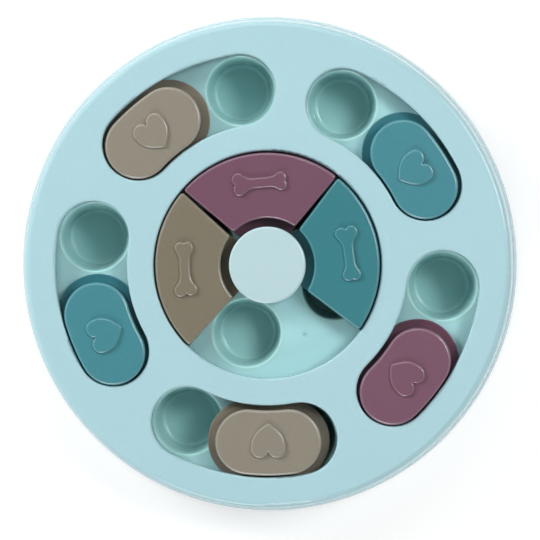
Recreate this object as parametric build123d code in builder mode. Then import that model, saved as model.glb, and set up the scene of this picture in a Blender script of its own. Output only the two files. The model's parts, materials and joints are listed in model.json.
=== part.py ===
"""Round puzzle feeder: a tray of treat cups under five sliding covers and three swivelling sectors.

The toy lies flat. Z is up, the origin is on the resting surface under the hub, and +Y is its top edge.
Angles are counter-clockwise from +X, in degrees; lengths are in millimetres. The tray's cups are
moulded in one with it; here they are solids of their own that fill round holes in its floor.
"""
from build123d import *
import os
from math import asin, cos, degrees, radians, sin, tan

# ---- heights, from the resting surface up -----------------------------------------------------
foot_height = 3.0
skirt_bottom = 1.5
cup_floor = 4.5
seam_height = 13.5            # joint between the base and the cover, half way up the side
tray_floor = 21.0
slot_depth = 9.5              # from the cover's top down to the tray's floor
lid_proud = 1.5               # the flat tops of the sliders and sectors stand above the cover
knob_proud = 2.3

# ---- walls ------------------------------------------------------------------------------------
tray_wall = 2.0
cover_thickness = 2.5
cover_wall = 2.2
lip_wall = 1.8                # round the cover's openings
lid_wall = 2.0
knob_wall = 2.2
guide_wall = 1.6
rib_wall = 1.8
rib_depth = 9.0

# ---- plan, from the hub outwards --------------------------------------------------------------
hub_radius = 12.0
knob_radius = 18.65
knob_gap = 4.15               # between the knob and the raised part of the sectors
opening_radius = 55.4         # round opening over the three sectors
bridge_width = 13.1           # cover between the opening and the slots
slot_half_width = 17.5
slot_half_angle = 19.05       # from a slot's centre to the centre of its round end
rim_width = 14.6              # cover outside the slots
side_draft = 2.6              # the cover's side leans out this much down to the seam
skirt_draft = 2.3             # and the base this much more down to its foot
slot_count = 5
first_slot_angle = 118.0      # centre of slot A; the others follow clockwise

# ---- edges and the seam -----------------------------------------------------------------------
shoulder_round = 3.0
edge_round = 1.1              # soft edge round every opening of the cover
rim_round = 0.6
seam_gap = 0.5
seam_step = 0.3               # the base stands this much prouder than the cover at the seam

# ---- cups -------------------------------------------------------------------------------------
cup_margin = 0.8              # from a slot's side to the mouth of the cup under it
cup_draft = 3.3
cup_mouth_round = 0.9
cup_floor_round = 2.0
cup_foot_bevel = 1.6          # round the outside of a cup's floor
inner_cup_count = 4
inner_cup_angle = 72.8
inner_cup_margin = 3.7        # from the opening's edge to an inner cup

# ---- clearances -------------------------------------------------------------------------------
slide_clearance = 0.3         # under the flanges
flange_clearance = 0.5        # over the flanges
guide_clearance = 0.6         # beside the flanges
hub_clearance = 0.4
screw_clearance = 0.3
thread_clearance = 0.05
nest_clearance = 0.35         # between the tray's upstand and the cover's wall
foot_clearance = 0.2

# ---- sliders ----------------------------------------------------------------------------------
slider_gap = 1.6              # between a slider and the sides of its slot
slider_end_gap = 0.9          # left at the end of its travel
slider_flange_lap = 4.0       # the flange reaches this far out under the cover
flange_thickness = 2.4
flange_round = 0.4
slider_half_angle = 6.6
slider_edge_round = 1.6
side_rest = 0.6               # a slider lies this far off the slot's middle line, within its play
middle_rest_angle = 8.3       # slider D stands short of the end of its slot
stop_inner_reach = 14.0       # stops between the sliders, from the slots' middle line
stop_outer_reach = 10.0

# ---- sectors ----------------------------------------------------------------------------------
sector_gap = 0.9              # between the sectors and the opening's edge
sector_flange_lap = 4.2
sector_side_inset = 1.65      # the straight sides lie this far inside a quarter circle's
sector_corner_round = 1.6
sector_edge_round = 1.4
teal_rest_angle = 7.9         # the middle of each sector, from +X
plum_rest_angle = 95.15
taupe_rest_angle = 182.65

# ---- embossed figures -------------------------------------------------------------------------
emboss_height = 1.4
emboss_round = 1.2
figure_corner_round = 0.5
heart_reach = 7.2             # the lobes reach this far out from the slider's middle
heart_lobe_radius = 4.4
heart_lobe_overlap = 0.3      # of each lobe, past the heart's axis
heart_side_angle = 8.0        # where a lobe turns into the long side
heart_side_radius = 11.0
heart_tip_angle = 52.0        # between the heart's axis and each side, at the tip
heart_tip_round = 2.0
bone_shift = 1.4              # the bone's middle lies this much further out than the sector's
bone_half_length = 10.2       # to the centres of the lobes
bone_skew = 0.2               # the outer one of the large lobes reaches further
bone_shaft_half_width = 2.65
bone_shaft_round = 7.4        # hollow curves from the shaft to the lobes
large_lobe_radius = 3.25
large_lobe_offset = 2.5       # from the bone's axis
small_lobe_radius = 3.0
small_lobe_offset = 1.7

# ---- knob -------------------------------------------------------------------------------------
knob_edge_round = 1.2
knob_post_radius = 8.0

# ---- screws, bosses and feet ------------------------------------------------------------------
shank_radius = 1.6
head_radius = 3.4
head_height = 2.2
head_round = 0.8
recess_length = 3.8
recess_width = 0.8
recess_depth = 1.3
case_screw_offset = 18.0      # case screws stand this far outside the slots' middle line
case_screw_length = 16.0
hub_screw_length = 19.0
screw_tip_gap = 2.8           # from a case screw's tip to the cover's plate
boss_radius = 5.5
head_sink = 3.2               # from a boss's foot up to the face that the screw's head bears on
cover_boss_radius = 4.0
pilot_spare = 1.0             # a pilot hole runs this much past the screw's tip
foot_offset = 19.0            # feet stand this far outside the slots' middle line
foot_radius = 7.5
foot_round = 0.8
foot_plug_radius = 5.5
foot_plug_height = 3.0
foot_recess = 1.2
foot_boss_wall = 1.3
gate_mark_offset = 3.9        # outside the inner cups' circle
gate_mark_radius = 1.1
gate_mark_depth = 0.6

# ---- worked out from the sizes above ----------------------------------------------------------
up = 90.0                     # outlines are drawn across the +Y axis
cover_top = tray_floor + slot_depth
lid_top = cover_top + lid_proud
knob_top = cover_top + knob_proud
flange_bottom = tray_floor + slide_clearance
flange_top = flange_bottom + flange_thickness
lip_bottom = flange_top + flange_clearance
tray_underside = tray_floor - tray_wall
cover_underside = cover_top - cover_thickness
screw_seat = cover_underside - screw_tip_gap - case_screw_length
boss_bottom = screw_seat - head_sink

slot_pitch = 360 / slot_count
slot_mid_radius = opening_radius + bridge_width + slot_half_width
shoulder_radius = slot_mid_radius + slot_half_width + rim_width
seam_radius = shoulder_radius + side_draft
base_radius = seam_radius + skirt_draft
side_slope = side_draft / (cover_top - seam_height)

cup_mouth_radius = slot_half_width - cup_margin
cup_floor_radius = cup_mouth_radius - cup_draft
cup_depth = tray_floor - cup_floor
cup_outer_radius = cup_mouth_radius + tray_wall
inner_cup_circle = opening_radius - inner_cup_margin - cup_mouth_radius
rib_ring_radius = (inner_cup_circle + slot_mid_radius) / 2

slider_half_width = slot_half_width - slider_gap
slider_flange_half_width = slider_half_width + slider_flange_lap
slider_travel_angle = (
    slot_half_angle - slider_half_angle + degrees((slider_gap - slider_end_gap) / slot_mid_radius)
)
slider_guide_radius = slot_mid_radius - slider_flange_half_width - side_rest - guide_clearance
flange_end_angle = slider_half_angle + degrees(asin(slider_flange_half_width / slot_mid_radius))
stop_half_angle = slot_pitch / 2 - slider_travel_angle - flange_end_angle
stop_half_width = slot_mid_radius * radians(stop_half_angle) - guide_clearance

sector_inner_radius = knob_radius + knob_gap
sector_outer_radius = opening_radius - sector_gap
sector_flange_radius = opening_radius + sector_flange_lap
sector_guide_radius = sector_flange_radius + guide_clearance + guide_wall
bone_circle = (sector_inner_radius + sector_outer_radius) / 2 + bone_shift


def slot_angle(number):
    """Angle of a slot's centre. The slots are counted clockwise."""
    return first_slot_angle - number * slot_pitch


def at(radius, angle):
    """A point on a circle about the hub."""
    return (radius * cos(radians(angle)), radius * sin(radians(angle)))


def level(height, angle=90.0, radius=0.0):
    """A horizontal plane at a height, a radius out along an angle, with +Y pointing outwards."""
    x, y = at(radius, angle)
    return Plane(
        origin=(x, y, height),
        x_dir=(sin(radians(angle)), -cos(radians(angle)), 0),
        z_dir=(0, 0, 1),
    )


def side_radius(height):
    """Outer radius of the cover's sloping side at a height."""
    return shoulder_radius + (cover_top - height) * side_slope


def circles(edges, radius):
    """The circular edges of one radius."""
    return [edge for edge in edges.filter_by(GeomType.CIRCLE) if abs(edge.radius - radius) < 0.01]


def at_height(edges, height):
    """The edges that lie wholly at one height."""
    return edges.filter_by_position(Axis.Z, height - 0.01, height + 0.01)


upstand_radius = side_radius(tray_floor) - cover_wall - nest_clearance
outer_cup_places = [
    at(slot_mid_radius, slot_angle(number) + side * slot_half_angle)
    for number in range(slot_count)
    for side in (1, -1)
]
inner_cup_places = [
    at(inner_cup_circle, inner_cup_angle + number * 360 / inner_cup_count)
    for number in range(inner_cup_count)
]
screw_angles = [slot_angle(number) + slot_pitch / 2 for number in range(slot_count)]
screw_places = [at(slot_mid_radius + case_screw_offset, angle) for angle in screw_angles]
foot_angles = [slot_angle(number) for number in range(slot_count)]
foot_places = [at(slot_mid_radius + foot_offset, angle) for angle in foot_angles]
slider_rests = [
    # in the order of the slots: name, angle from the slot's centre, way outside its middle line
    ("slider_a_taupe", slider_travel_angle, -side_rest),
    ("slider_b_teal", -slider_travel_angle, -side_rest),
    ("slider_c_plum", -slider_travel_angle, side_rest),
    ("slider_d_taupe", middle_rest_angle, side_rest),
    ("slider_e_teal", slider_travel_angle, side_rest),
]
sector_rests = [
    ("sector_teal", teal_rest_angle),
    ("sector_plum", plum_rest_angle),
    ("sector_taupe", taupe_rest_angle),
]


# ---- outlines ---------------------------------------------------------------------------------
def bean(mid_radius, half_angle, half_width):
    """A kidney across the +Y axis, concentric with the toy."""
    with BuildSketch() as outline:
        with BuildLine() as middle:
            CenterArc((0, 0), mid_radius, up - half_angle, 2 * half_angle)
        SlotArc(middle.edge(), 2 * half_width)
    return outline.sketch


def wedge(inner_radius, outer_radius, inset):
    """A quarter ring across the +Y axis, its straight sides set in from the quarter's."""
    half_inner = up / 2 - degrees(asin(inset / inner_radius))
    half_outer = up / 2 - degrees(asin(inset / outer_radius))
    with BuildSketch() as outline:
        with BuildLine():
            outer = CenterArc((0, 0), outer_radius, up - half_outer, 2 * half_outer)
            inner = CenterArc((0, 0), inner_radius, up - half_inner, 2 * half_inner)
            Line(outer @ 0, inner @ 0)
            Line(outer @ 1, inner @ 1)
        make_face()
    return outline.sketch


def heart():
    """A heart along the Y axis, its tip towards -Y."""
    lobe_height = heart_reach - heart_lobe_radius
    lobe_offset = heart_lobe_radius - heart_lobe_overlap
    notch = (0, lobe_height + (heart_lobe_radius**2 - lobe_offset**2) ** 0.5)
    turn = radians(heart_side_angle)
    shoulder = (
        lobe_offset + heart_lobe_radius * cos(turn),
        lobe_height + heart_lobe_radius * sin(turn),
    )
    with BuildSketch() as outline:
        with BuildLine():
            ThreePointArc(notch, (lobe_offset, heart_reach), shoulder)
            side = JernArc(
                shoulder, (sin(turn), -cos(turn)), heart_side_radius, -heart_side_angle - heart_tip_angle
            )
            Line(side @ 1, (0, (side @ 1).Y - (side @ 1).X / tan(radians(heart_tip_angle))))
            mirror(about=Plane.YZ)
        make_face()
        tip, cleft = outline.vertices().filter_by_position(Axis.X, -0.01, 0.01).sort_by(Axis.Y)
        fillet(tip, radius=heart_tip_round)
        fillet(cleft, radius=figure_corner_round)
    return outline.sketch


def bone():
    """A bone round the origin, along X, with its large end towards -X."""
    lobes = [
        # along the bone, across it, radius
        (-bone_half_length - bone_skew, large_lobe_offset, large_lobe_radius),
        (-bone_half_length + bone_skew, -large_lobe_offset, large_lobe_radius),
        (bone_half_length, small_lobe_offset, small_lobe_radius),
        (bone_half_length, -small_lobe_offset, small_lobe_radius),
    ]
    with BuildSketch() as outline:
        for along, across, radius in lobes:
            with Locations((along, across)):
                Circle(radius)
        Rectangle(2 * bone_half_length, 2 * bone_shaft_half_width)
        left_cleft, *shaft_corners, right_cleft = outline.vertices().sort_by(Axis.X)
        fillet(shaft_corners, radius=bone_shaft_round)
        fillet([left_cleft, right_cleft], radius=figure_corner_round)
    return outline.sketch


# ---- base tray --------------------------------------------------------------------------------
def tray_section():
    """Half the tray's section: floor, upstand inside the cover, ledge at the seam, and skirt."""
    ledge = seam_radius + seam_step
    ledge_bottom = seam_height - tray_wall
    skirt_slope = (base_radius - ledge) / (seam_height - skirt_bottom)
    with BuildSketch() as section:
        with BuildLine():
            Polyline(
                (0, tray_floor),
                (upstand_radius, tray_floor),
                (upstand_radius, seam_height),
                (ledge, seam_height),
                (base_radius, skirt_bottom),
                (base_radius - tray_wall, skirt_bottom),
                (ledge + tray_wall * (skirt_slope - 1), ledge_bottom),
                (upstand_radius - tray_wall, ledge_bottom),
                (upstand_radius - tray_wall, tray_underside),
                (0, tray_underside),
                close=True,
            )
        make_face()
    return section.sketch


with BuildPart() as base_tray:
    with BuildSketch(Plane.XZ):
        add(tray_section())
    revolve(axis=Axis.Z)
    foot_edge = circles(at_height(base_tray.edges(), skirt_bottom), base_radius)
    ledge_edge = circles(at_height(base_tray.edges(), seam_height), seam_radius + seam_step)
    fillet(foot_edge + ledge_edge, radius=rim_round)

    # bosses under the floor for the screws and the feet
    with BuildSketch(level(boss_bottom)):
        with Locations((0, 0), *screw_places):
            Circle(boss_radius)
    extrude(amount=tray_underside - boss_bottom)
    foot_boss_bottom = foot_height - foot_recess
    with BuildSketch(level(foot_boss_bottom)):
        with Locations(foot_places):
            Circle(foot_radius + foot_clearance + foot_boss_wall)
    extrude(amount=tray_underside - foot_boss_bottom)

    # ribs under the floor: a ring between the cups, and short ones from the bosses to the wall
    with BuildSketch(level(tray_underside - rib_depth)):
        Circle(rib_ring_radius + rib_wall / 2)
        Circle(rib_ring_radius - rib_wall / 2, mode=Mode.SUBTRACT)
    extrude(amount=rib_depth)
    rib_stop = upstand_radius - tray_wall / 2
    spokes = [(angle, slot_mid_radius + case_screw_offset) for angle in screw_angles]
    spokes += [(angle, slot_mid_radius + foot_offset) for angle in foot_angles]
    for angle, rib_start in spokes:
        with BuildSketch(level(tray_underside - rib_depth, angle, (rib_start + rib_stop) / 2)):
            Rectangle(rib_wall, rib_stop - rib_start)
        extrude(amount=rib_depth)

    # round holes that the cups fill
    with BuildSketch(level(tray_underside)):
        with Locations(outer_cup_places + inner_cup_places):
            Circle(cup_outer_radius)
    extrude(amount=tray_wall, mode=Mode.SUBTRACT)

    # guides over the floor: the hub, the rings beside the flanges, and stops between the sliders
    with BuildSketch(level(tray_floor)):
        Circle(hub_radius)
    extrude(amount=lip_bottom - tray_floor)
    for outer_radius in (sector_guide_radius, slider_guide_radius):
        with BuildSketch(level(tray_floor)):
            Circle(outer_radius)
            Circle(outer_radius - guide_wall, mode=Mode.SUBTRACT)
        extrude(amount=flange_top - tray_floor)
    for angle in screw_angles:
        stop_middle = slot_mid_radius + (stop_outer_reach - stop_inner_reach) / 2
        with BuildSketch(level(tray_floor, angle, stop_middle)):
            Rectangle(2 * stop_half_width, stop_inner_reach + stop_outer_reach)
        extrude(amount=flange_top - tray_floor)

    # screw holes with seats for the heads, and sockets for the feet
    with Locations((0, 0), *screw_places):
        with Locations((0, 0, boss_bottom)):
            Cylinder(
                radius=head_radius + screw_clearance,
                height=screw_seat - boss_bottom,
                align=(Align.CENTER, Align.CENTER, Align.MIN),
                mode=Mode.SUBTRACT,
            )
            Cylinder(
                radius=shank_radius + screw_clearance,
                height=lip_bottom - boss_bottom,
                align=(Align.CENTER, Align.CENTER, Align.MIN),
                mode=Mode.SUBTRACT,
            )
    with Locations([(x, y, foot_boss_bottom) for x, y in foot_places]):
        Cylinder(
            radius=foot_radius + foot_clearance,
            height=foot_recess,
            align=(Align.CENTER, Align.CENTER, Align.MIN),
            mode=Mode.SUBTRACT,
        )
        Cylinder(
            radius=foot_plug_radius + foot_clearance,
            height=tray_underside - foot_boss_bottom,
            align=(Align.CENTER, Align.CENTER, Align.MIN),
            mode=Mode.SUBTRACT,
        )

    # shallow marks that the mould's gates leave between the inner cups
    with BuildSketch(level(tray_floor)):
        for number in range(inner_cup_count):
            mark_angle = inner_cup_angle + (number + 0.5) * 360 / inner_cup_count
            with Locations(at(inner_cup_circle + gate_mark_offset, mark_angle)):
                Circle(gate_mark_radius)
    extrude(amount=-gate_mark_depth, mode=Mode.SUBTRACT)


# ---- cups -------------------------------------------------------------------------------------
def make_cups(places):
    """Round treat cups that taper to their floors, with soft mouths level with the tray's floor."""
    wall_foot = cup_floor - tray_wall
    with BuildPart() as cups:
        with Locations([(x, y, tray_underside) for x, y in places]):
            Cylinder(
                radius=cup_outer_radius,
                height=tray_wall,
                align=(Align.CENTER, Align.CENTER, Align.MIN),
            )
        with Locations([(x, y, wall_foot) for x, y in places]):
            Cone(
                bottom_radius=cup_floor_radius + tray_wall,
                top_radius=cup_outer_radius,
                height=tray_underside - wall_foot,
                align=(Align.CENTER, Align.CENTER, Align.MIN),
            )
        chamfer(circles(cups.edges(), cup_floor_radius + tray_wall), length=cup_foot_bevel)
        with Locations([(x, y, cup_floor) for x, y in places]):
            Cone(
                bottom_radius=cup_floor_radius,
                top_radius=cup_mouth_radius,
                height=cup_depth,
                align=(Align.CENTER, Align.CENTER, Align.MIN),
                mode=Mode.SUBTRACT,
            )
        fillet(circles(at_height(cups.edges(), tray_floor), cup_mouth_radius), radius=cup_mouth_round)
        fillet(circles(at_height(cups.edges(), cup_floor), cup_floor_radius), radius=cup_floor_round)
    return cups.part


# ---- top cover --------------------------------------------------------------------------------
with BuildPart() as top_cover:
    cover_bottom = seam_height + seam_gap
    with BuildSketch(Plane.XZ):
        with BuildLine():
            Polyline(
                (opening_radius, cover_top),
                (shoulder_radius, cover_top),
                (side_radius(cover_bottom), cover_bottom),
                (side_radius(cover_bottom) - cover_wall, cover_bottom),
                (side_radius(cover_underside) - cover_wall, cover_underside),
                (opening_radius, cover_underside),
                close=True,
            )
        make_face()
    revolve(axis=Axis.Z)
    fillet(circles(at_height(top_cover.edges(), cover_top), shoulder_radius), radius=shoulder_round)

    # walls round the openings reach down to just above the flanges
    with BuildSketch(level(lip_bottom)):
        Circle(opening_radius + lip_wall)
        Circle(opening_radius, mode=Mode.SUBTRACT)
    extrude(amount=cover_underside - lip_bottom)
    for number in range(slot_count):
        with BuildSketch(level(lip_bottom, slot_angle(number))):
            add(bean(slot_mid_radius, slot_half_angle, slot_half_width + lip_wall))
        extrude(amount=cover_underside - lip_bottom)
    for number in range(slot_count):
        with BuildSketch(level(lip_bottom, slot_angle(number))):
            add(bean(slot_mid_radius, slot_half_angle, slot_half_width))
        extrude(amount=cover_top - lip_bottom, mode=Mode.SUBTRACT)
    opening_edges = [
        edge
        for edge in at_height(top_cover.edges(), cover_top)
        if edge.length < 2 * 3.2 * opening_radius or abs(edge.radius - opening_radius) < 0.01
    ]
    fillet(opening_edges, radius=edge_round)

    # bosses that stand on the tray floor and take the screws
    with BuildSketch(level(tray_floor)):
        with Locations(screw_places):
            Circle(cover_boss_radius)
    extrude(amount=cover_underside - tray_floor)
    with BuildSketch(level(tray_floor)):
        with Locations(screw_places):
            Circle(shank_radius + thread_clearance)
    extrude(amount=screw_seat + case_screw_length + pilot_spare - tray_floor, mode=Mode.SUBTRACT)


# ---- sliders and sectors ----------------------------------------------------------------------
def make_slider(number, offset, outwards):
    """A hollow lid with a heart on it, on a flange that runs under the cover."""
    angle = slot_angle(number) + offset
    mid_radius = slot_mid_radius + outwards
    with BuildPart() as slider:
        with BuildSketch(level(flange_bottom, angle)):
            add(bean(mid_radius, slider_half_angle, slider_flange_half_width))
        extrude(amount=flange_thickness)
        fillet(at_height(slider.edges(), flange_top), radius=flange_round)
        with BuildSketch(level(flange_top, angle)):
            add(bean(mid_radius, slider_half_angle, slider_half_width))
        extrude(amount=lid_top - flange_top)
        fillet(at_height(slider.edges(), lid_top), radius=slider_edge_round)
        with BuildSketch(level(flange_bottom, angle)):
            add(bean(mid_radius, slider_half_angle, slider_half_width - lid_wall))
        extrude(amount=lid_top - lid_wall - flange_bottom, mode=Mode.SUBTRACT)
        with BuildSketch(level(lid_top, angle, mid_radius)):
            add(heart())
        extrude(amount=emboss_height)
        fillet(at_height(slider.edges(), lid_top + emboss_height), radius=emboss_round)
    return slider.part


def make_sector(angle):
    """A hollow quarter lid with a bone on it, flanged under the cover and round the hub."""
    with BuildPart() as sector:
        with BuildSketch(level(flange_bottom, angle)):
            add(wedge(hub_radius + hub_clearance, sector_flange_radius, sector_side_inset))
        extrude(amount=flange_thickness)
        with BuildSketch(level(flange_top, angle)):
            add(wedge(sector_inner_radius, sector_outer_radius, sector_side_inset))
            fillet(vertices(), radius=sector_corner_round)
        extrude(amount=lid_top - flange_top)
        fillet(at_height(sector.edges(), lid_top), radius=sector_edge_round)
        with BuildSketch(level(flange_bottom, angle)):
            add(
                wedge(
                    sector_inner_radius + lid_wall,
                    sector_outer_radius - lid_wall,
                    sector_side_inset + lid_wall,
                )
            )
        extrude(amount=lid_top - lid_wall - flange_bottom, mode=Mode.SUBTRACT)
        with BuildSketch(level(lid_top, angle, bone_circle)):
            add(bone())
        extrude(amount=emboss_height)
        fillet(at_height(sector.edges(), lid_top + emboss_height), radius=emboss_round)
    return sector.part


# ---- knob, screws and feet --------------------------------------------------------------------
with BuildPart() as hub_knob:
    with BuildSketch(level(lip_bottom)):
        Circle(knob_radius)
    extrude(amount=knob_top - lip_bottom)
    fillet(at_height(hub_knob.edges(), knob_top), radius=knob_edge_round)
    with BuildSketch(level(lip_bottom)):
        Circle(knob_radius - knob_wall)
        Circle(knob_post_radius, mode=Mode.SUBTRACT)
    extrude(amount=knob_top - knob_wall - lip_bottom, mode=Mode.SUBTRACT)
    with BuildSketch(level(lip_bottom)):
        Circle(shank_radius + thread_clearance)
    extrude(amount=screw_seat + hub_screw_length + pilot_spare - lip_bottom, mode=Mode.SUBTRACT)


def make_screw(place, length):
    """A pan-head screw driven upwards, with a cross recess in its head."""
    with BuildPart() as screw:
        with BuildSketch(level(screw_seat - head_height)):
            with Locations(place):
                Circle(head_radius)
        extrude(amount=head_height)
        fillet(at_height(screw.edges(), screw_seat - head_height), radius=head_round)
        with BuildSketch(level(screw_seat)):
            with Locations(place):
                Circle(shank_radius)
        extrude(amount=length)
        chamfer(at_height(screw.edges(), screw_seat + length), length=shank_radius / 2)
        with BuildSketch(level(screw_seat - head_height)):
            with Locations(place):
                Rectangle(recess_length, recess_width)
                Rectangle(recess_width, recess_length)
        extrude(amount=recess_depth, mode=Mode.SUBTRACT)
    return screw.part


def make_foot(place):
    """A rubber disc with a plug that holds it in its socket."""
    with BuildPart() as foot:
        with BuildSketch(level(0)):
            with Locations(place):
                Circle(foot_radius)
        extrude(amount=foot_height)
        fillet(at_height(foot.edges(), 0), radius=foot_round)
        with BuildSketch(level(foot_height)):
            with Locations(place):
                Circle(foot_plug_radius)
        extrude(amount=foot_plug_height)
    return foot.part


# ---- write one file for each piece ------------------------------------------------------------
pieces = {"base_tray": base_tray.part, "top_cover": top_cover.part, "hub_knob": hub_knob.part}
pieces["outer_cups"] = make_cups(outer_cup_places)
pieces["inner_cups"] = make_cups(inner_cup_places)
for number, (name, offset, outwards) in enumerate(slider_rests):
    pieces[name] = make_slider(number, offset, outwards)
for name, angle in sector_rests:
    pieces[name] = make_sector(angle)
pieces["hub_screw"] = make_screw((0, 0), hub_screw_length)
for number in range(slot_count):
    pieces[f"case_screw_{number + 1}"] = make_screw(screw_places[number], case_screw_length)
    pieces[f"rubber_foot_{number + 1}"] = make_foot(foot_places[number])

os.makedirs("parts", exist_ok=True)
for name, part in pieces.items():
    part.label = name
    export_step(part, f"parts/{name}.step")
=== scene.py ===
"""Looks of a round treat puzzle for dogs: moulded plastics, a pale studio and a camera over its face."""
import json
from collections import namedtuple
from math import cos, pi, radians, sin

import bpy
from mathutils import Matrix, Vector


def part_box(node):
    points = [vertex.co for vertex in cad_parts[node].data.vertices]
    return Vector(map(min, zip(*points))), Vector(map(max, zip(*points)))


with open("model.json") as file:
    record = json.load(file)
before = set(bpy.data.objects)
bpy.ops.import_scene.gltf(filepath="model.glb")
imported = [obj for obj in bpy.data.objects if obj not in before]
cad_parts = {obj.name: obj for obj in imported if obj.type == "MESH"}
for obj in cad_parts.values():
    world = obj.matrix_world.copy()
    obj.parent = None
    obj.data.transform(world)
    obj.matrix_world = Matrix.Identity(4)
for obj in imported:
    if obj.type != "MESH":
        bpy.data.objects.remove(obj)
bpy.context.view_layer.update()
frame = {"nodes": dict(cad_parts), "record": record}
cover_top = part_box("top_cover")[1].z

# ---- camera, over the middle of the cover's face ----------------------------------------------
picture_width = 0.2622           # of the face that the picture takes in, at the cover's top
camera_distance = 1.12
camera_right = radians(1.75)     # the camera stands this far off the vertical, towards +X
camera_up = radians(1.0)         # and towards +Y
aim_right = 0.00126              # the picture's centre, from the hub
aim_up = -0.00243
sensor_width = 36.0
clip_start, clip_end = 0.05, 20.0

# ---- finishes ---------------------------------------------------------------------------------
aqua = (0.448, 0.681, 0.736)
pale_aqua = (0.538, 0.733, 0.764)
# the tray is the aqua plastic, tinted greener and lighter inside: painted bounce light
tray_aqua_painted_bounce = (0.447, 0.770, 0.793)
# the cups are the aqua plastic, tinted greener: painted bounce light
cup_aqua_painted_bounce = (0.447, 0.770, 0.762)
teal = (0.063, 0.270, 0.317)
plum = (0.205, 0.094, 0.143)
taupe = (0.297, 0.267, 0.214)
sector_teal = (0.042, 0.228, 0.261)
sector_plum = (0.189, 0.084, 0.131)
sector_taupe = (0.225, 0.197, 0.140)
steel = (0.620, 0.630, 0.640)
rubber = (0.600, 0.660, 0.670)

# Painted shade: between low and high, within reach of the hub, walls are darkened; below low, the colour is
# deepened
Sides = namedtuple("Sides", "low high dulled depth reach")
lid_painted_shade = Sides(0.0239, 0.0306, 0.20, 1.25, 0.130)     # painted shade on the lids' walls, from their flanges up to their rounded edges
lip_painted_shade = Sides(0.0230, 0.0282, 0.65, 1.0, 0.112)      # painted shade on the walls of the cover's openings
cup_painted_shade = Sides(0.0062, 0.0206, 0.78, 1.0, 0.130)      # painted shade on the walls of the cups
sides_step = 0.0002              # the heights over which the painted shade turns at the sides' foot
sides_fade = 0.6                 # of the sides' height has the painted shade in full
skirt_reach = 0.1165             # from the hub to the tray's outer wall, which has the cover's tone; inside it the tray has the painted bounce tint
reach_fade = 0.001
cloud_size = 0.06                # of the cloudy tone of moulded plastic
cloud_tone = 0.008
grain_size = 0.0007              # of its spark-eroded skin
grain_depth = 0.000001
gloss_size = 0.02                # of its duller and glossier places
gloss_play = 0.01
translucence = 0.12
translucence_colour = (0.8, 1.0, 1.0)
translucence_depth = 0.0015


def rgba(colour, brightness=1.0):
    return (*(channel * brightness for channel in colour), 1.0)


class Finish:
    """A node material under construction: nodes are added and linked by short calls."""

    def __init__(self, name):
        self.material = bpy.data.materials.new(name)
        self.material.use_nodes = True
        self.tree = self.material.node_tree
        self.tree.nodes.clear()
        self.output = self.tree.nodes.new("ShaderNodeOutputMaterial")
        self.place = self.tree.nodes.new("ShaderNodeTexCoord").outputs["Object"]

    def node(self, kind, **inputs):
        made = self.tree.nodes.new(kind)
        for name, value in inputs.items():
            socket = made.inputs[name.replace("_", " ")]
            if isinstance(value, bpy.types.NodeSocket):
                self.tree.links.new(value, socket)
            else:
                socket.default_value = value
        return made

    def noise(self, size, detail=2.0):
        """A noise whose lumps are about size metres across."""
        return self.node("ShaderNodeTexNoise", Vector=self.place, Scale=1 / size, Detail=detail).outputs[0]

    def away(self):
        """The distance from the hub's foot."""
        made = self.node("ShaderNodeVectorMath", Vector=self.place)
        made.operation = "LENGTH"
        return made.outputs["Value"]

    def spread(self, value, low, high, from_low=0.3, from_high=0.7):
        """The value's middle range, spread over low to high with soft ends."""
        made = self.node("ShaderNodeMapRange", Value=value)
        made.interpolation_type = "SMOOTHSTEP"
        made.inputs["From Min"].default_value = from_low
        made.inputs["From Max"].default_value = from_high
        made.inputs["To Min"].default_value = low
        made.inputs["To Max"].default_value = high
        return made.outputs[0]

    def times(self, first, second):
        made = self.tree.nodes.new("ShaderNodeMath")
        made.operation = "MULTIPLY"
        self.tree.links.new(first, made.inputs[0])
        self.tree.links.new(second, made.inputs[1])
        return made.outputs[0]

    def mix(self, factor, first, second, kind="MIX"):
        made = self.tree.nodes.new("ShaderNodeMix")
        made.data_type = "RGBA"
        made.blend_type = kind
        for socket, value in ((made.inputs[0], factor), (made.inputs[6], first), (made.inputs[7], second)):
            if isinstance(value, bpy.types.NodeSocket):
                self.tree.links.new(value, socket)
            else:
                socket.default_value = value
        return made.outputs[2]


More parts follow.
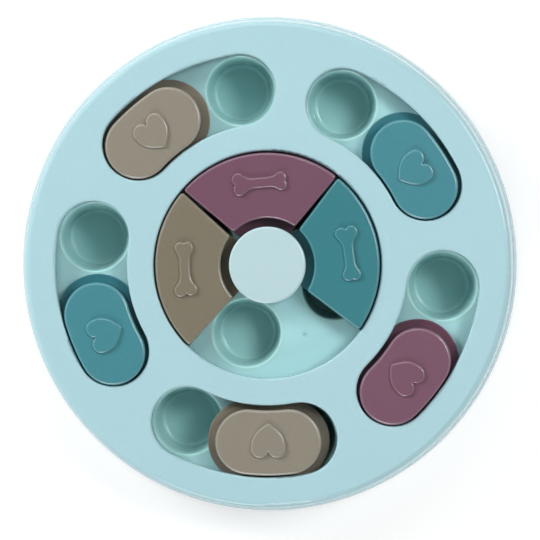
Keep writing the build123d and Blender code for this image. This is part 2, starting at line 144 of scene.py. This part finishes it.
def moulded_plastic(name, colour, sides=None, skirt=None, roughness=0.26, index=1.45, grain=0.015):
    """Satin injection-moulded plastic: a faint cloudy tone, fine spark-eroded grain and uneven gloss.

    Between the sides' low and high levels, and within their reach of the hub, the plastic faces a narrow gap
    and is darkened there with painted shade. Below them its colour is deepened, also painted shade. A skirt
    is the colour of what lies outside skirt_reach.
    """
    finish = Finish(name)
    clouds = finish.spread(finish.noise(cloud_size), 0.0, 1.0)
    tone = finish.mix(clouds, rgba(colour, 1.0 - cloud_tone), rgba(colour, 1.0 + cloud_tone))
    speckle = finish.noise(grain_size, detail=3.0)
    tone = finish.mix(1.0, tone, finish.spread(speckle, 1.0 - grain, 1.0 + grain), "MULTIPLY")
    if sides:
        full = sides.low + sides_fade * (sides.high - sides.low)
        height = finish.node("ShaderNodeSeparateXYZ", Vector=finish.place).outputs["Z"]
        above = finish.spread(height, 0.0, 1.0, sides.low, sides.low + sides_step)
        below = finish.spread(height, 1.0, 0.0, full, sides.high)
        near = finish.spread(finish.away(), 1.0, 0.0, sides.reach - reach_fade, sides.reach)
        # painted shade: darken the walls between the sides' levels, then deepen the colour below them
        tone = finish.mix(finish.times(above, finish.times(below, near)), tone, rgba(colour, sides.dulled))
        tone = finish.mix(above, rgba(channel**sides.depth for channel in colour), tone)
    if skirt:
        outside = finish.spread(finish.away(), 0.0, 1.0, skirt_reach - reach_fade, skirt_reach)
        tone = finish.mix(outside, tone, rgba(skirt))
    duller = finish.noise(gloss_size)
    gloss = finish.spread(duller, roughness - gloss_play, roughness + gloss_play, from_low=0.2, from_high=0.8)
    bump = finish.node("ShaderNodeBump", Height=speckle, Strength=1.0, Distance=grain_depth)
    shader = finish.node(
        "ShaderNodeBsdfPrincipled",
        Base_Color=tone,
        Roughness=gloss,
        Normal=bump.outputs[0],
        IOR=index,
        Subsurface_Weight=translucence,
        Subsurface_Radius=translucence_colour,
        Subsurface_Scale=translucence_depth,
    )
    finish.tree.links.new(shader.outputs[0], finish.output.inputs[0])
    return finish.material


def zinc_steel(name, colour):
    """Bright zinc plating with a turned grain."""
    finish = Finish(name)
    patches = finish.noise(0.0012)
    swirls = finish.noise(0.0005, detail=4.0)
    scratches = finish.noise(0.0004, detail=4.0)
    tone = finish.mix(finish.spread(patches, 0.0, 1.0), rgba(colour, 0.85), rgba(colour, 1.05))
    gloss = finish.spread(swirls, low=0.24, high=0.40)
    bump = finish.node("ShaderNodeBump", Height=scratches, Strength=1.0, Distance=0.00001)
    shader = finish.node(
        "ShaderNodeBsdfPrincipled", Base_Color=tone, Roughness=gloss, Normal=bump.outputs[0], Metallic=0.95
    )
    finish.tree.links.new(shader.outputs[0], finish.output.inputs[0])
    return finish.material


def soft_rubber(name, colour):
    """Matt rubber with a pebbled skin."""
    finish = Finish(name)
    dust = finish.noise(0.002, detail=4.0)
    wear = finish.noise(0.0015)
    pebbles = finish.noise(0.0006, detail=4.0)
    tone = finish.mix(finish.spread(dust, 0.0, 1.0), rgba(colour, 0.92), rgba(colour, 1.04))
    gloss = finish.spread(wear, low=0.72, high=0.86)
    bump = finish.node("ShaderNodeBump", Height=pebbles, Strength=1.0, Distance=0.00006)
    shader = finish.node(
        "ShaderNodeBsdfPrincipled", Base_Color=tone, Roughness=gloss, Normal=bump.outputs[0]
    )
    finish.tree.links.new(shader.outputs[0], finish.output.inputs[0])
    return finish.material


def lid_plastic(name, colour):
    """The lids' plastic is glossier and has a stronger grain than the cover's, with painted shade on its
    walls and flanges.
    """
    return moulded_plastic(name, colour, lid_painted_shade, roughness=0.32, index=1.85, grain=0.04)


finishes = {
    "aqua_plastic": moulded_plastic("aqua_plastic", aqua, lip_painted_shade, roughness=0.20),
    "pale_aqua_plastic": moulded_plastic("pale_aqua_plastic", pale_aqua, index=1.80),
    "teal_plastic": lid_plastic("teal_plastic", teal),
    "plum_plastic": lid_plastic("plum_plastic", plum),
    "taupe_plastic": lid_plastic("taupe_plastic", taupe),
    "screw_steel": zinc_steel("screw_steel", steel),
    "foot_rubber": soft_rubber("foot_rubber", rubber),
}
# the cups: painted bounce tint, and painted shade on their walls
cup_finish = moulded_plastic("cup_aqua_plastic", cup_aqua_painted_bounce, cup_painted_shade, roughness=0.16, index=1.60)
batch_tones_and_painted_bounce = {                # the sectors' plastic differs a little in tone; the tray and cups carry painted bounce light
    "base_tray": moulded_plastic("tray_aqua_plastic", tray_aqua_painted_bounce, skirt=aqua),
    "outer_cups": cup_finish,
    "inner_cups": cup_finish,
    "sector_teal": lid_plastic("sector_teal_plastic", sector_teal),
    "sector_plum": lid_plastic("sector_plum_plastic", sector_plum),
    "sector_taupe": lid_plastic("sector_taupe_plastic", sector_taupe),
}

for part in frame["record"]["subparts"]:
    piece = frame["nodes"][part["node"]]
    holder = piece.material_slots[0]
    holder.link = "OBJECT"
    holder.material = batch_tones_and_painted_bounce.get(part["node"], finishes[part["material_slot"]])


# ---- studio -----------------------------------------------------------------------------------
white = (1.0, 1.0, 1.0)
ambient_colour = (0.96, 0.98, 1.0)
ambient_share = 0.14             # of the face's plain light
ceiling_share = 0.08             # of white, where a gloss mirrors the studio's open top
ceiling_low, ceiling_high = 0.35, 0.85      # the sines of the heights between which the walls end
floor_bounce = 0.7               # of the light on the floor comes back on the object
floor_size = 12.0
floor_tone = 0.60                # of the floor as it is seen, and
floor_lift = 0.54                # what keeps it white where only one lamp is shaded
floor_fade_start = 0.35          # from the hub; past the fade the paper is plain white
floor_fade_end = 0.80
floor_clearance = 0.0001         # keeps the feet and the paper from lying in one plane


def seen_directly(tree):
    """1 where a surface is seen, itself, mirrored or through glass, and 0 where it only lights others."""
    path = tree.nodes.new("ShaderNodeLightPath")
    seen = path.outputs["Is Camera Ray"]
    for ray in ("Is Glossy Ray", "Is Transmission Ray"):
        either = tree.nodes.new("ShaderNodeMath")
        either.operation = "MAXIMUM"
        tree.links.new(seen, either.inputs[0])
        tree.links.new(path.outputs[ray], either.inputs[1])
        seen = either.outputs[0]
    return seen


def chosen(tree, factor, first, second):
    made = tree.nodes.new("ShaderNodeMixShader")
    for socket, value in zip(made.inputs, (factor, first, second)):
        tree.links.new(value, socket)
    return made.outputs[0]


def pale_floor():
    bpy.ops.mesh.primitive_plane_add(size=floor_size, location=(0, 0, -floor_clearance))
    floor = bpy.context.object
    floor.name = "studio_floor"
    finish = Finish("studio_floor")
    tree = finish.tree
    lit = finish.node("ShaderNodeBsdfDiffuse", Color=rgba(white, floor_tone)).outputs[0]
    bounce = finish.node("ShaderNodeBsdfDiffuse", Color=rgba(white, floor_bounce)).outputs[0]
    lift = finish.node("ShaderNodeEmission", Color=rgba(white), Strength=floor_lift).outputs[0]
    lifted = tree.nodes.new("ShaderNodeAddShader")
    tree.links.new(lit, lifted.inputs[0])
    tree.links.new(lift, lifted.inputs[1])
    plain = finish.node("ShaderNodeEmission", Color=rgba(white), Strength=1.0).outputs[0]
    far = finish.spread(finish.away(), 0.0, 1.0, floor_fade_start, floor_fade_end)
    shown = chosen(tree, far, lifted.outputs[0], plain)
    tree.links.new(chosen(tree, seen_directly(tree), bounce, shown), finish.output.inputs[0])
    floor.data.materials.append(finish.material)


def pale_world():
    world = bpy.data.worlds.new("studio_world")
    bpy.context.scene.world = world
    world.use_nodes = True
    tree = world.node_tree
    tree.nodes.clear()
    output = tree.nodes.new("ShaderNodeOutputWorld")
    ambient = tree.nodes.new("ShaderNodeBackground")
    ambient.inputs["Color"].default_value = rgba(ambient_colour)
    ambient.inputs["Strength"].default_value = ambient_share
    direction = tree.nodes.new("ShaderNodeSeparateXYZ")
    tree.links.new(tree.nodes.new("ShaderNodeTexCoord").outputs["Generated"], direction.inputs[0])
    walls = tree.nodes.new("ShaderNodeMapRange")
    tree.links.new(direction.outputs["Z"], walls.inputs["Value"])
    walls.inputs["From Min"].default_value = ceiling_low
    walls.inputs["From Max"].default_value = ceiling_high
    walls.inputs["To Min"].default_value = 1.0
    walls.inputs["To Max"].default_value = ceiling_share
    behind = tree.nodes.new("ShaderNodeMath")
    behind.operation = "MAXIMUM"
    tree.links.new(walls.outputs[0], behind.inputs[0])
    tree.links.new(tree.nodes.new("ShaderNodeLightPath").outputs["Is Camera Ray"], behind.inputs[1])
    backdrop = tree.nodes.new("ShaderNodeBackground")
    backdrop.inputs["Color"].default_value = rgba(white)
    tree.links.new(behind.outputs[0], backdrop.inputs["Strength"])
    shown = chosen(tree, seen_directly(tree), ambient.outputs[0], backdrop.outputs[0])
    tree.links.new(shown, output.inputs[0])


def softbox(name, azimuth, elevation, distance, width, height, share, mirrored=True):
    """An area lamp aimed at the hub.

    It gives a share of the face's plain light. Unless mirrored, it lights the plastic without a highlight.
    """
    light = bpy.data.lights.new(name, "AREA")
    light.shape = "RECTANGLE"
    light.size, light.size_y = width, height
    light.energy = share * pi**2 * distance**2 / sin(radians(elevation))
    lamp = bpy.data.objects.new(name, light)
    turn, rise = radians(azimuth), radians(elevation)
    towards = Vector((cos(turn) * cos(rise), sin(turn) * cos(rise), sin(rise)))
    lamp.location = towards * distance + Vector((0, 0, cover_top))
    lamp.rotation_euler = towards.to_track_quat("Z", "Y").to_euler()
    lamp.visible_glossy = mirrored
    bpy.context.collection.objects.link(lamp)


pale_floor()
pale_world()
left, right, top, bottom = (147, 26), (24, 45), (92, 42), (258, 24)      # azimuths and elevations
softbox("left_softbox", *left, distance=1.6, width=0.6, height=0.4, share=0.22, mirrored=False)
softbox("left_glint", *left, distance=1.6, width=1.1, height=0.5, share=0.10)
softbox("right_softbox", *right, distance=1.6, width=0.6, height=0.5, share=0.32)
softbox("top_softbox", *top, distance=1.8, width=1.0, height=0.5, share=0.12)
softbox("bottom_softbox", *bottom, distance=1.8, width=1.0, height=0.4, share=0.18)


# ---- camera -----------------------------------------------------------------------------------
def face_camera():
    data = bpy.data.cameras.new("camera")
    data.sensor_width = sensor_width
    data.lens = sensor_width * camera_distance / picture_width
    data.clip_start, data.clip_end = clip_start, clip_end
    camera = bpy.data.objects.new("camera", data)
    hub = Vector((0, 0, cover_top))
    height = cos(camera_right) * cos(camera_up)
    camera.location = hub + camera_distance * Vector((sin(camera_right), sin(camera_up), height))
    back = (camera.location - hub - Vector((aim_right, aim_up, 0))).normalized()
    right = Vector((0, 1, 0)).cross(back).normalized()
    turn = Matrix((right, back.cross(right), back)).transposed()
    camera.rotation_euler = turn.to_euler()
    bpy.context.collection.objects.link(camera)
    bpy.context.scene.camera = camera


face_camera()
bpy.context.scene.view_settings.view_transform = "Standard"
